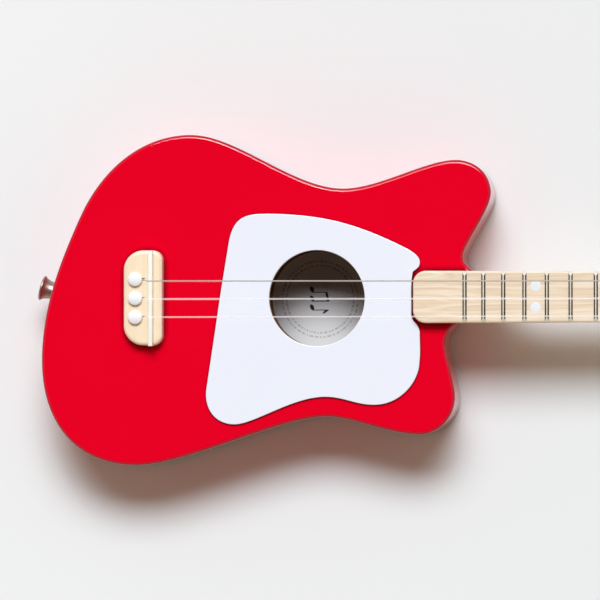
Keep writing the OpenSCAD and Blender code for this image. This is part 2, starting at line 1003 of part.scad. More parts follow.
soundboard();
back_plate();
rim(1);  // rim_bass
rim(-1);  // rim_treble
neck_block();
tail_block();
top_lining();
back_lining();
top_braces();
back_braces();
bridge_plate();
label();
pickguard();
bridge();
saddle();
bridge_pin(0);  // bridge_pin_1
bridge_pin(1);  // bridge_pin_2
bridge_pin(2);  // bridge_pin_3
neck();
fretboard();
frets();
position_dots();
nut();
neck_bolts();
neck_inserts();
strap_button();
strap_screw();
strap_felt();
string(0);  // string_1
string(1);  // string_2
string(2);  // string_3
winding(0);  // string_1_winding
winding(1);  // string_2_winding
winding(2);  // string_3_winding
tuner_plate(0);  // tuner_1_plate
worm(0);  // tuner_1_worm
button(0);  // tuner_1_button
post(0);  // tuner_1_post
gear(0);  // tuner_1_gear
gear_screw(0);  // tuner_1_gear_screw
tuner_plate(1);  // tuner_2_plate
worm(1);  // tuner_2_worm
button(1);  // tuner_2_button
post(1);  // tuner_2_post
gear(1);  // tuner_2_gear
gear_screw(1);  // tuner_2_gear_screw
tuner_plate(2);  // tuner_3_plate
worm(2);  // tuner_3_worm
button(2);  // tuner_3_button
post(2);  // tuner_3_post
gear(2);  // tuner_3_gear
gear_screw(2);  // tuner_3_gear_screw
tuner_bushings();
tuner_screws();
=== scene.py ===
"""Looks of a small three-string acoustic guitar lying on its back: meshes, materials, light and camera."""

import json
import math
import random

import bmesh
import bpy
from mathutils import Matrix, Vector


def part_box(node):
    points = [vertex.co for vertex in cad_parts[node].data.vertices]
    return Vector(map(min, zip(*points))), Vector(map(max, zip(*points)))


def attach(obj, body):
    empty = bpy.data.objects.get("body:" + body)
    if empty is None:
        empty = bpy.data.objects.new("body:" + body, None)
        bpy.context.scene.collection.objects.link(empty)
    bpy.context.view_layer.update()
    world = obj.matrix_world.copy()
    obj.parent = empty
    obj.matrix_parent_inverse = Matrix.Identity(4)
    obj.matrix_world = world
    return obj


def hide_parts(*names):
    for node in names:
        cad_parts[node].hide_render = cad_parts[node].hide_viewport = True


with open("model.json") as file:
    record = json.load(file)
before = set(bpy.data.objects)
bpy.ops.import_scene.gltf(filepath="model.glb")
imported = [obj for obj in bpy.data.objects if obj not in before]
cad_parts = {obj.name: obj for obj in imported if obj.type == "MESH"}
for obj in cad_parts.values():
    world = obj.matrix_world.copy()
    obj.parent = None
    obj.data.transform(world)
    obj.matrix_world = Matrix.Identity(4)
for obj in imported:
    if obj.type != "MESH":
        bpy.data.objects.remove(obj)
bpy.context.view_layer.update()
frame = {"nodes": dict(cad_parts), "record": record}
NODES = frame["nodes"]
MM = 0.001
ROOT = "guitar"
UP = Vector((0, 0, 1))


# ---------- places read from the frame ----------

def low(node):
    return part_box(node)[0]


def high(node):
    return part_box(node)[1]


def middle(node):
    return (low(node) + high(node)) / 2


def turns_left(points):
    """Twice the area inside a closed flat line; positive where the line runs anticlockwise."""
    return sum(a.cross(b) for a, b in zip(points, points[1:] + points[:1]))


def flat_borders(node, height):
    """The closed borders of a node's flat faces at one height, largest first, each anticlockwise."""
    mesh = NODES[node].data
    spots = [(round(v.co.x, 7), round(v.co.y, 7)) for v in mesh.vertices]
    loose = set()
    for face in mesh.polygons:
        if any(abs(mesh.vertices[v].co.z - height) > 0.01 * MM for v in face.vertices):
            continue
        corners = [spots[v] for v in face.vertices]
        for edge in zip(corners, corners[1:] + corners[:1]):
            if edge[::-1] in loose:
                loose.remove(edge[::-1])
            else:
                loose.add(edge)
    follow = dict(loose)
    borders = []
    while follow:
        start = min(follow)
        line, spot = [start], follow.pop(start)
        while spot != start:
            line.append(spot)
            spot = follow.pop(spot)
        points = [Vector(p) for p in line]
        borders.append(points if turns_left(points) > 0 else points[::-1])
    return sorted(borders, key=turns_left, reverse=True)


def round_hole(border):
    """Centre and radius of a border that is a circle."""
    centre = sum(border, Vector((0, 0))) / len(border)
    return centre, sum((p - centre).length for p in border) / len(border)


# ---------- lines ----------

def arc(centre, radius, start, end, steps):
    """Points on an arc, angles in degrees, both ends included."""
    angles = [math.radians(start + (end - start) * k / steps) for k in range(steps + 1)]
    return [Vector((centre[0] + radius * math.cos(a), centre[1] + radius * math.sin(a))) for a in angles]


def circle(centre, radius, steps):
    return arc(centre, radius, 0, 360, steps)[:-1]


def bezier(a, b, c, d, t):
    s = 1 - t
    return s ** 3 * a + 3 * s * s * t * b + 3 * s * t * t * c + t ** 3 * d


def smooth_line(points, spacing, corner=30, closed=True):
    """A finer line through the points. It bends evenly, but keeps corners sharper than `corner` degrees,
    and a side much longer than its neighbour stays straight."""
    count = len(points)
    arrive, leave = [], []
    for i, point in enumerate(points):
        before = point - points[i - 1]
        after = points[(i + 1) % count] - point
        if not closed and i == 0:
            before = after
        if not closed and i == count - 1:
            after = before
        if before.angle(after) > math.radians(corner):
            arrive.append(before.normalized())
            leave.append(after.normalized())
            continue
        if max(before.length, after.length) > 4 * min(before.length, after.length):
            mean = max(before, after, key=lambda side: side.length)
        else:
            mean = before.normalized() * after.length + after.normalized() * before.length
        arrive.append(mean.normalized())
        leave.append(mean.normalized())
    finer = []
    for i in range(count if closed else count - 1):
        a, b = points[i], points[(i + 1) % count]
        third = (b - a).length / 3
        steps = max(1, math.ceil((b - a).length / spacing))
        handles = a + leave[i] * third, b - arrive[(i + 1) % count] * third
        finer += [bezier(a, *handles, b, k / steps) for k in range(steps)]
    return finer if closed else finer + [points[-1]]


def inset_line(points, distance):
    """Moves every point of an anticlockwise line inwards, square to the line of its neighbours."""
    moved = []
    for i, point in enumerate(points):
        along = (points[(i + 1) % len(points)] - points[i - 1]).normalized()
        moved.append(point + distance * Vector((-along.y, along.x)))
    return moved


def rounded_edge(radius, top, flat, steps=8):
    """Profile of an upper edge: (inset, height) from the wall over a quarter round onto a narrow flat."""
    turns = [math.radians(90 * k / steps) for k in range(steps + 1)]
    bend = [(radius * (1 - math.cos(a)), top - radius + radius * math.sin(a)) for a in turns]
    return bend + [(radius + flat, top)]


# ---------- meshes ----------

HOLE_SPACING = 0.35 * MM


def ring(bm, points, height):
    return [bm.verts.new((p.x, p.y, height)) for p in points]


def join_rows(bm, rows, material=0, closed=True):
    """Faces between each row of vertices and the next; the rows have the same number of vertices."""
    for one, two in zip(rows, rows[1:]):
        pairs = list(zip(one, two))
        if closed:
            pairs.append(pairs[0])
        for (a, d), (b, c) in zip(pairs, pairs[1:]):
            bm.faces.new((a, b, c, d)).material_index = material


def fill(bm, rings, material=0):
    """A flat cap between the first ring and any holes in it."""
    edges = []
    for row in rings:
        for a, b in zip(row, row[1:] + row[:1]):
            edges.append(bm.edges.get((a, b)) or bm.edges.new((a, b)))
    made = bmesh.ops.triangle_fill(bm, use_beauty=True, edges=edges)
    for item in made["geom"]:
        if isinstance(item, bmesh.types.BMFace):
            item.material_index = material


def round_row(bm, centre, radius, aside, over, steps):
    """A ring of vertices round a centre, in the plane of two unit vectors."""
    turns = [2 * math.pi * k / steps for k in range(steps)]
    return [bm.verts.new(centre + radius * (math.cos(a) * aside + math.sin(a) * over)) for a in turns]


def merge(bm, extra):
    """Moves all of one bmesh into another."""
    scrap = bpy.data.meshes.new("scrap")
    extra.to_mesh(scrap)
    bm.from_mesh(scrap)
    extra.free()
    bpy.data.meshes.remove(scrap)


def board(outline, edge, holes=(), edge_material=0, under_material=0, hole_material=0):
    """A flat board. `edge` is its rim as (inset, height) from the underside up, and `holes` are
    (centre, radius, rows) with rows of (growth, height) from the underside up."""
    bm = bmesh.new()
    rows = [ring(bm, inset_line(outline, inset), height) for inset, height in edge]
    join_rows(bm, rows, edge_material)
    lower, upper = [rows[0]], [rows[-1]]
    for centre, radius, steps in holes:
        count = max(24, int(radius / HOLE_SPACING))
        turned = [ring(bm, circle(centre, radius + growth, count), height) for growth, height in steps]
        join_rows(bm, turned[::-1], hole_material)
        lower.append(turned[0])
        upper.append(turned[-1])
    fill(bm, lower, under_material)
    fill(bm, upper, edge_material)
    return bm


def block(bm, corner, far, material=0):
    """A box between two corners."""
    x, y, z = zip(corner, far)
    rows = [[bm.verts.new((x[i], y[j], z[k])) for i, j in ((0, 0), (1, 0), (1, 1), (0, 1))] for k in (0, 1)]
    join_rows(bm, rows, material)
    bm.faces.new(rows[0][::-1]).material_index = material
    bm.faces.new(rows[1]).material_index = material


def slab(bm, points, bottom, top, material=0):
    """A prism on a flat closed line."""
    rows = [ring(bm, points, bottom), ring(bm, points, top)]
    join_rows(bm, rows, material)
    bm.faces.new(rows[0][::-1]).material_index = material
    bm.faces.new(rows[1]).material_index = material


def lathe(bm, profile, origin, axis, steps):
    """Turns a profile of (radius, distance along the axis) round the axis; a radius of 0 closes the end."""
    aside = axis.orthogonal().normalized()
    over = axis.cross(aside)
    rows = []
    for radius, along in profile:
        centre = origin + axis * along
        if radius == 0:
            rows.append([bm.verts.new(centre)])
        else:
            rows.append(round_row(bm, centre, radius, aside, over, steps))
    for one, two in zip(rows, rows[1:]):
        if len(one) == len(two):
            join_rows(bm, [one, two])
        else:
            tip, rim = (one[0], two) if len(one) == 1 else (two[0], one)
            for a, b in zip(rim, rim[1:] + rim[:1]):
                bm.faces.new((tip, a, b))
    return rows


def tube(bm, points, radius, sides=12):
    """A round cord along a line of points, closed at both ends."""
    rows = []
    aside = None
    for i, point in enumerate(points):
        along = (points[min(i + 1, len(points) - 1)] - points[max(i - 1, 0)]).normalized()
        aside = along.orthogonal() if aside is None else aside - along * aside.dot(along)
        aside.normalize()
        rows.append(round_row(bm, point, radius, aside, along.cross(aside), sides))
    join_rows(bm, rows)
    bm.faces.new(rows[0][::-1])
    bm.faces.new(rows[-1])


def from_node(node):
    """A clean copy of a CAD node's surface: welded, with flat areas as single faces."""
    bm = bmesh.new()
    bm.from_mesh(NODES[node].data)
    bmesh.ops.remove_doubles(bm, verts=bm.verts, dist=0.002 * MM)
    bmesh.ops.dissolve_limit(bm, angle_limit=math.radians(1), verts=bm.verts, edges=bm.edges)
    return bm


def round_edges(bm, radius, corner=40, segments=3):
    """Rounds every edge that turns more than `corner` degrees."""
    sharp = [e for e in bm.edges if len(e.link_faces) == 2 and e.calc_face_angle() > math.radians(corner)]
    bmesh.ops.bevel(
        bm, geom=sharp, offset=radius, offset_type="OFFSET", segments=segments, profile=0.5,
        affect="EDGES", clamp_overlap=True)


def new_object(bm, name, materials=(), sharp=35):
    """Ends a mesh: faces point outwards and are smooth, edges over `sharp` degrees stay crisp."""
    bmesh.ops.recalc_face_normals(bm, faces=bm.faces)
    for face in bm.faces:
        face.smooth = True
    for edge in bm.edges:
        edge.smooth = len(edge.link_faces) == 2 and edge.calc_face_angle() < math.radians(sharp)
    mesh = bpy.data.meshes.new(name)
    bm.to_mesh(mesh)
    bm.free()
    if "custom_normal" in mesh.attributes:
        mesh.attributes.remove(mesh.attributes["custom_normal"])
    for material in materials:
        mesh.materials.append(material)
    made = bpy.data.objects.new(name, mesh)
    bpy.context.scene.collection.objects.link(made)
    return made


def piece(bm, name, nodes, materials, body=ROOT, sharp=35):
    """A finished piece that rides on a body and stands for its CAD nodes."""
    made = new_object(bm, name, materials, sharp)
    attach(made, body)
    if nodes:
        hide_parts(*nodes)
    return made


def applied(made, *modifiers):
    """Adds modifiers, given as (kind, settings), and keeps their result as the object's mesh."""
    for kind, settings in modifiers:
        modifier = made.modifiers.new(kind.lower(), kind)
        for name, value in settings.items():
            setattr(modifier, name, value)
    graph = bpy.context.evaluated_depsgraph_get()
    result = bpy.data.meshes.new_from_object(made.evaluated_get(graph))
    made.modifiers.clear()
    old, made.data = made.data, result
    bpy.data.meshes.remove(old)


def cut_away(bm, cutters, name):
    """The solid bm less the closed solids in cutters, as a new bmesh."""
    solid, tool = new_object(bm, name), new_object(cutters, name + "_cutter")
    settings = {"object": tool, "operation": "DIFFERENCE", "solver": "EXACT", "use_self": True}
    applied(solid, ("BOOLEAN", settings))
    rest = bmesh.new()
    rest.from_mesh(solid.data)
    for scrap in (solid, tool):
        bpy.data.objects.remove(scrap)
    return rest


# ---------- materials ----------

def set_stops(node, stops):
    """Gives a colour ramp its stops of (position, level or colour)."""
    elements = node.color_ramp.elements
    while len(elements) < len(stops):
        elements.new(0.5)
    for element, (position, tone) in zip(elements, stops):
        element.position = position
        element.color = (tone, tone, tone, 1) if isinstance(tone, (int, float)) else (*tone, 1)


class Finish:
    """A material round one Principled shader, with short ways to add procedural detail to it."""

    def __init__(self, name, color, **sockets):
        self.material = bpy.data.materials.new(name)
        self.material.use_nodes = True
        self.tree = self.material.node_tree
        self.shader = self.tree.nodes["Principled BSDF"]
        self.shader.inputs["Base Color"].default_value = (*color, 1)
        for socket, value in sockets.items():
            self.shader.inputs[socket.replace("_", " ").title().replace("Ior", "IOR")].default_value = value
        self.place = self.add("ShaderNodeTexCoord").outputs["Object"]

    def add(self, kind, inputs=(), **settings):
        """A node; inputs is pairs of an input's name or number and a value or another node's output."""
        node = self.tree.nodes.new(kind)
        for name, value in settings.items():
            setattr(node, name, value)
        for socket, value in inputs:
            if isinstance(value, bpy.types.NodeSocket):
                self.tree.links.new(value, node.inputs[socket])
            else:
                node.inputs[socket].default_value = value
        return node

    def stretched(self, scale):
        return self.add("ShaderNodeMapping", [("Vector", self.place), ("Scale", scale)]).outputs["Vector"]

    def lying(self, *stops):
        """A level by how flat the surface lies: stops run from 0 on an upright wall to 1 on a flat face."""
        facing = self.add("ShaderNodeTexCoord").outputs["Normal"]
        upward = self.add("ShaderNodeSeparateXYZ", [("Vector", facing)]).outputs["Z"]
        return self.ramp(self.math("ABSOLUTE", upward), *stops)

    def noise(self, vector, scale=1.0, detail=3.0, roughness=0.5, distortion=0.0):
        values = [("Vector", vector), ("Scale", scale), ("Detail", detail), ("Roughness", roughness)]
        return self.add("ShaderNodeTexNoise", values + [("Distortion", distortion)]).outputs["Fac"]

    def ramp(self, value, *stops):
        """Colours or grey levels by value."""
        node = self.add("ShaderNodeValToRGB", [("Fac", value)])
        set_stops(node, stops)
        return node.outputs["Color"]

    def math(self, operation, a, b=0.0):
        return self.add("ShaderNodeMath", [(0, a), (1, b)], operation=operation).outputs[0]

    def mix(self, share, one, two, blend="MIX"):
        """Two colours mixed; either may be an output or three numbers."""
        tones = [c if isinstance(c, bpy.types.NodeSocket) else (*c, 1) for c in (one, two)]
        values = [("Factor", share), (6, tones[0]), (7, tones[1])]
        return self.add("ShaderNodeMix", values, data_type="RGBA", blend_type=blend).outputs[2]

    def paint(self, color):
        self.tree.links.new(color, self.shader.inputs["Base Color"])

    def roughen(self, value, least, most):
        """Roughness that varies over the surface between two levels."""
        span = self.add("ShaderNodeMapRange", [("Value", value), ("To Min", least), ("To Max", most)])
        self.tree.links.new(span.outputs["Result"], self.shader.inputs["Roughness"])

    def bump(self, height, depth, strength=1.0):
        node = self.add("ShaderNodeBump", [("Height", height), ("Distance", depth), ("Strength", strength)])
        self.tree.links.new(node.outputs["Normal"], self.shader.inputs["Normal"])


def lacquer(name, color, shade, deep):
    """Thick gloss paint under a clear coat with a faint orange peel. Rounded edges get the deep tone as a
    painted shade, upright walls have more than half of the plain one, and corners and gaps get a near-black
    painted shade."""
    f = Finish(name, color, roughness=0.4, specular_ior_level=0.0, coat_weight=1.0, coat_roughness=0.035)
    drift = f.noise(f.place, 14, 2)
    # painted shade: the deep tone is laid on rounded edges, and partly on walls, by which way the surface
    # faces
    tone = f.mix(f.lying((0.0, 0.6), (0.15, 0.0), (0.8, 0.0), (0.97, 1.0)), deep, f.mix(drift, color, shade))
    # painted shade: corners, gaps and contact lines darkened to near-black by an ambient-occlusion mask
    painted_nook_shade = f.add("ShaderNodeAmbientOcclusion", [("Distance", 6 * MM)]).outputs["AO"]
    f.paint(f.mix(f.ramp(painted_nook_shade, (0.42, 0.0), (0.84, 1.0)), (0.10, 0.0, 0.006), tone))
    peel = f.noise(f.place, 420, 2, 0.4)
    f.bump(peel, 0.012 * MM, 0.5)
    return f.material


def plastic(name, color, shade, roughness, coat=0.0, grain=900):
    """Moulded or sheet plastic with faint tone drift, handling marks and a fine skin."""
    f = Finish(name, color, roughness=roughness, coat_weight=coat, coat_roughness=0.06)
    f.paint(f.mix(f.noise(f.place, 30, 3), color, shade))
    f.roughen(f.noise(f.place, 160, 5, 0.65), roughness * 0.8, roughness * 1.25)
    f.bump(f.noise(f.place, grain, 2), 0.01 * MM, 0.4)
    return f.material


def wood(name, pale, mid, dark, grain, roughness=0.42, coat=0.0, cross=1.0, contrast=1.0, painted_edge_highlight=None):
    """Sawn wood. `grain` is the axis that the fibres follow, cross widens or narrows the bands, and
    the last, optional tone is a paler painted highlight laid on its walls and rounded edges."""
    f = Finish(name, mid, roughness=roughness, coat_weight=coat, coat_roughness=0.25)

    def along(stretch, across):
        return f.stretched([stretch if axis == grain else across * cross for axis in range(3)])

    sway = f.noise(along(10, 22), 1, 2)
    bent = f.add("ShaderNodeVectorMath", [(0, along(5, 85)), (1, sway)], operation="ADD").outputs[0]
    bands = f.noise(bent, 1, 3, 0.5, 0.6)
    fibres = f.noise(along(16, 1500), 1, 4, 0.6)
    flecks = f.noise(along(240, 2600), 1, 2)
    tone = f.ramp(bands, (0.33, pale), (0.43, mid), (0.5, pale), (0.58, mid), (0.66, pale), (0.74, dark))
    tone = f.mix(0.3 * contrast, tone, f.ramp(fibres, (0.35, dark), (0.6, pale)), "MULTIPLY")
    lift = f.mix(1.0, tone, (1.15, 1.15, 1.17), "MULTIPLY")
    spots = f.ramp(flecks, (0.68, 0.0), (0.76, 1.0))
    tone = f.mix(f.math("MULTIPLY", spots, 0.35 * contrast), lift, dark)
    # painted highlight: a paler tone on the walls and rounded edges, by which way the surface faces
    if painted_edge_highlight:
        tone = f.mix(f.lying((0.3, 0.8), (0.97, 0.0)), tone, painted_edge_highlight)
    f.paint(tone)
    f.roughen(fibres, roughness * 0.85, roughness * 1.15)
    f.bump(fibres, 0.03 * MM, 0.35)
    return f.material


def plywood_edge(name, pale, dark, layer):
    """Raw cut edge of plywood: layers by height, with end grain in every other one."""
    f = Finish(name, pale, roughness=0.75)
    height = f.add("ShaderNodeSeparateXYZ", [("Vector", f.place)]).outputs["Z"]
    wave = f.math("SINE", f.math("MULTIPLY", height, 2 * math.pi / (2 * layer)))
    layers = f.ramp(f.math("ADD", f.math("MULTIPLY", wave, 0.5), 0.5), (0.42, dark), (0.58, pale))
    fibres = f.noise(f.stretched((900, 900, 2600)), 1, 4)
    f.paint(f.mix(0.4, layers, f.ramp(fibres, (0.35, dark), (0.65, pale)), "MULTIPLY"))
    f.bump(fibres, 0.06 * MM, 0.6)
    return f.material


def metal(name, color, dull, roughness, scratch=(60, 3000, 3000)):
    """Plated or polished metal with fine scratches and a little dull film."""
    f = Finish(name, color, metallic=1.0, roughness=roughness)
    film = f.noise(f.place, 260, 4, 0.6)
    f.paint(f.mix(f.ramp(film, (0.45, 0.0), (0.75, 1.0)), color, dull))
    lines = f.noise(f.stretched(scratch), 1, 3, 0.6)
    f.roughen(lines, roughness * 0.7, roughness * 1.4)
    f.bump(lines, 0.004 * MM, 0.35)
    return f.material


def fret_metal(name, crown, painted_flank_shade, base, rise):
    """Nickel silver: its plain tone on the top of the crown, and a near-black painted shade down its sides.
    """
    f = Finish(name, crown, roughness=0.5, specular_ior_level=0.08)
    height = f.add("ShaderNodeSeparateXYZ", [("Vector", f.place)]).outputs["Z"]
    share = f.math("DIVIDE", f.math("SUBTRACT", height, base), rise)
    film = f.math("MULTIPLY", f.noise(f.place, 900, 3), 0.12)
    # painted shade: below the top of the crown the colour turns to the near-black side tone, with a ragged
    # border
    flank_shade_mask = f.ramp(f.math("ADD", share, film), (0.95, 0.0), (1.0, 1.0))
    f.paint(f.mix(flank_shade_mask, painted_flank_shade, crown))
    f.roughen(f.noise(f.stretched((90, 4000, 4000)), 1, 3), 0.42, 0.6)
    return f.material


def paper(name, color, shade):
    """Matt paper with a fine fibre."""
    f = Finish(name, color, roughness=0.85, specular_ior_level=0.2)
    fibres = f.noise(f.place, 2600, 4, 0.7)
    f.paint(f.mix(f.noise(f.place, 60, 3), color, shade))
    f.bump(fibres, 0.02 * MM, 0.5)
    return f.material


def nylon(name, color, shade, body):
    """Clear drawn nylon: the share `body` of the light stays on it and the rest goes through."""
    f = Finish(name, color, roughness=0.3, alpha=body)
    f.paint(f.mix(f.noise(f.place, 90, 2), color, shade))
    f.roughen(f.noise(f.stretched((200, 4000, 4000)), 1, 3), 0.25, 0.4)
    f.bump(f.noise(f.place, 4000, 2), 0.004 * MM, 0.4)
    return f.material


def felt(name, color, shade):
    """Pressed felt with short hairs."""
    f = Finish(name, color, roughness=0.95, sheen_weight=0.6, sheen_roughness=0.5)
    hairs = f.noise(f.place, 3200, 5, 0.75, 1.2)
    f.paint(f.mix(hairs, color, shade))
    f.bump(hairs, 0.12 * MM, 0.9)
    return f.material


# the last colour is the deep tone, painted as shade on rounded edges and walls
RED = lacquer("red_lacquer", (0.80, 0.0, 0.017), (0.78, 0.0, 0.015), (0.46, 0.0, 0.02))
RAW = wood("raw_ply", (0.46, 0.27, 0.13), (0.40, 0.23, 0.10), (0.30, 0.16, 0.06), 0, 0.8)
PLY = plywood_edge("ply_edge", (0.62, 0.40, 0.20), (0.36, 0.18, 0.07), 1.0 * MM)
BOARD_WOOD = wood("board_maple", (0.85, 0.74, 0.59), (0.73, 0.58, 0.42), (0.60, 0.43, 0.28), 0, 0.38, 0.3)
# the bridge's walls and rounded edges get a pale pinkish painted highlight
BRIDGE_WOOD = wood(
    "bridge_maple", (0.86, 0.73, 0.54), (0.84, 0.69, 0.50), (0.77, 0.58, 0.38), 1, 0.36, 0.35,
    painted_edge_highlight=(0.98, 0.84, 0.76))
NECK_WOOD = wood("neck_maple", (0.83, 0.71, 0.55), (0.77, 0.63, 0.46), (0.65, 0.48, 0.32), 0, 0.40, 0.3)
INSIDE_WOOD = wood("inside_spruce", (0.50, 0.33, 0.18), (0.45, 0.28, 0.14), (0.34, 0.19, 0.08), 1, 0.8)
GUARD_WHITE = plastic("guard_white", (0.86, 0.87, 0.94), (0.85, 0.86, 0.93), 0.22, 0.6)
IVORY = plastic("ivory", (0.95, 0.93, 0.84), (0.93, 0.90, 0.80), 0.32, 0.3)
PIN_WHITE = plastic("pin_white", (0.95, 0.95, 0.96), (0.93, 0.93, 0.94), 0.2, 0.6)
DOT_WHITE = plastic("dot_white", (0.84, 0.84, 0.85), (0.80, 0.80, 0.80), 0.35)
BUTTON_WHITE = plastic("button_white", (0.84, 0.83, 0.80), (0.80, 0.79, 0.75), 0.18, 0.6)
CHROME = metal("chrome", (0.78, 0.75, 0.72), (0.62, 0.59, 0.55), 0.1)
NICKEL = metal("nickel", (0.46, 0.36, 0.31), (0.36, 0.28, 0.24), 0.4)
ZINC = metal("zinc", (0.66, 0.67, 0.69), (0.50, 0.50, 0.50), 0.28)
BRASS = metal("brass", (0.78, 0.56, 0.25), (0.55, 0.37, 0.15), 0.26)
PAPER = paper("label_paper", (0.90, 0.83, 0.80), (0.86, 0.79, 0.76))
INK = paper("label_ink", (0.03, 0.025, 0.025), (0.05, 0.045, 0.045))
PALE_INK = paper("label_pale_ink", (0.56, 0.51, 0.50), (0.62, 0.57, 0.55))
FELT = felt("felt_black", (0.03, 0.03, 0.035), (0.09, 0.09, 0.1))
NYLON = nylon("string_nylon", (0.95, 0.89, 0.90), (0.91, 0.85, 0.86), 0.30)
NYLON_GREY = nylon("string_nylon_grey", (0.47, 0.43, 0.38), (0.43, 0.39, 0.34), 0.58)


# ---------- body ----------

TOP = high("soundboard").z
SEAM_TOP = low("soundboard").z
SEAM_BACK = high("back_plate").z
EDGE_RADIUS = 2.2 * MM
EDGE_FLAT = 0.5 * MM
CUT_ROUND = 0.15 * MM
CUT_FLAT = 0.6 * MM
RIM = 4 * MM
BODY_LINE = smooth_line(flat_borders("back_plate", 0)[0], 1.6 * MM)


def make_soundboard():
    """The red top with its rounded edge, raw wood underneath and in the cuts."""
    hole, *pins = [round_hole(b) for b in flat_borders("soundboard", TOP)[1:]]
    edge = [(0, SEAM_TOP)] + rounded_edge(EDGE_RADIUS, TOP, EDGE_FLAT)
    wall = [(0, SEAM_TOP), (0, TOP - CUT_ROUND)]
    holes = [(*hole, wall + [(CUT_ROUND, TOP), (CUT_FLAT, TOP)])]
    holes += [(centre, radius, wall + [(0, TOP)]) for centre, radius in pins]
    bm = board(BODY_LINE, edge, holes, 0, 1, 2)
    piece(bm, "soundboard_panel", ["soundboard"], [RED, RAW, PLY])


def make_back():
    """The back: the same rounded edge turned over, raw wood on the inside."""
    edge = [(inset, SEAM_BACK - height) for inset, height in rounded_edge(EDGE_RADIUS, SEAM_BACK, EDGE_FLAT)]
    bm = board(BODY_LINE, edge[::-1] + [(0, SEAM_BACK)])
    for face in bm.faces:
        face.material_index = 1 if face.calc_center_median().z > SEAM_BACK - 0.01 * MM else 0
    piece(bm, "back_panel", ["back_plate"], [RED, RAW])


def half_of_line(line, partner, side):
    """The open part of a closed line on one side of y = 0, with the matching points of its partner line."""
    count = len(line)
    start = next(i for i in range(count) if line[i - 1].y * side <= 0 < line[i].y * side)
    outer, inner = [], []
    for k in range(-1, count):
        i = (start + k) % count
        if k >= 0 and line[i].y * side <= 0:
            share = line[i - 1].y / (line[i - 1].y - line[i].y)
            outer.append(line[i - 1].lerp(line[i], share))
            inner.append(partner[i - 1].lerp(partner[i], share))
            break
        if k < 0:
            following = (i + 1) % count
            share = line[i].y / (line[i].y - line[following].y)
            outer.append(line[i].lerp(line[following], share))
            inner.append(partner[i].lerp(partner[following], share))
        else:
            outer.append(line[i])
            inner.append(partner[i])
    return outer, inner


def make_rim(node, side):
    """One bent side: lacquered outside, raw wood inside."""
    outer, inner = half_of_line(BODY_LINE, inset_line(BODY_LINE, RIM), side)
    bm = bmesh.new()
    rows = [ring(bm, line, z) for line, z in (
        (outer, SEAM_BACK), (outer, SEAM_TOP), (inner, SEAM_TOP), (inner, SEAM_BACK))]
    rows.append(rows[0])
    for index, (one, two) in enumerate(zip(rows, rows[1:])):
        join_rows(bm, [one, two], 0 if index == 0 else 1, closed=False)
    for end in (0, -1):
        bm.faces.new([row[end] for row in rows[:4]]).material_index = 1
    piece(bm, node + "_side", [node], [RED, RAW])


def make_pickguard():
    """A white sheet with a small round on its upper edges."""
    outline, hole = flat_borders("pickguard", high("pickguard").z)
    centre, radius = round_hole(hole)
    base, top = low("pickguard").z, high("pickguard").z
    edge = [(0, base)] + rounded_edge(0.4 * MM, top, 0.3 * MM, 5)
    bm = board(smooth_line(outline, 1.2 * MM), edge, [(centre, radius, edge)])
    piece(bm, "pickguard_sheet", ["pickguard"], [GUARD_WHITE])


# ---------- bridge ----------

BRIDGE_TOP = high("bridge").z
PIN_NAMES = ["bridge_pin_1", "bridge_pin_2", "bridge_pin_3"]
PIN_RADIUS = 2.5 * MM
PIN_TIP_RADIUS = 2.2 * MM
PIN_GROOVE = 1.5 * MM
PIN_GROOVE_IN = 1.05 * MM
PIN_HOLE_RADIUS = PIN_RADIUS + 0.1 * MM
PIN_HEAD_HEIGHT = 2.2 * MM
PIN_LIP = 0.45 * MM
SADDLE_CROWN = 0.7 * MM
SADDLE_END_ROUND = 0.5 * MM
SADDLE_PLAY = 0.08 * MM


def make_bridge():
    """The bridge block with rounded upper edges, its saddle slot, pin holes and string ramps."""
    outline = smooth_line(flat_borders("bridge", low("bridge").z)[0], 0.8 * MM)
    edge = [(0, low("bridge").z), (0, BRIDGE_TOP - 3 * MM)] + rounded_edge(2.0 * MM, BRIDGE_TOP, 0.4 * MM)
    cutters = bmesh.new()
    slot_low, slot_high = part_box("saddle")
    play = Vector((SADDLE_PLAY, 2 * MM, 0))
    block(cutters, slot_low - play, Vector((slot_high.x, slot_high.y, BRIDGE_TOP + MM)) + play)
    for pin in PIN_NAMES:
        spot = middle(pin)
        profile = [(0, -MM), (PIN_HOLE_RADIUS, -MM), (PIN_HOLE_RADIUS, 10 * MM), (0, 10 * MM)]
        lathe(cutters, profile, Vector((spot.x, spot.y, TOP)), UP, 32)
        ramp = bmesh.new()
        half = Vector((0, PIN_GROOVE / 2, 0))
        block(ramp, -half, Vector((5 * MM, 0, 3 * MM)) + half)
        turn = Matrix.Translation((spot.x + 1.5 * MM, spot.y, BRIDGE_TOP - 2.6 * MM))
        ramp.transform(turn @ Matrix.Rotation(math.radians(-30), 4, "Y"))
        merge(cutters, ramp)
    bm = cut_away(board(outline, edge), cutters, "bridge_blank")
    piece(bm, "bridge_block", ["bridge"], [BRIDGE_WOOD])


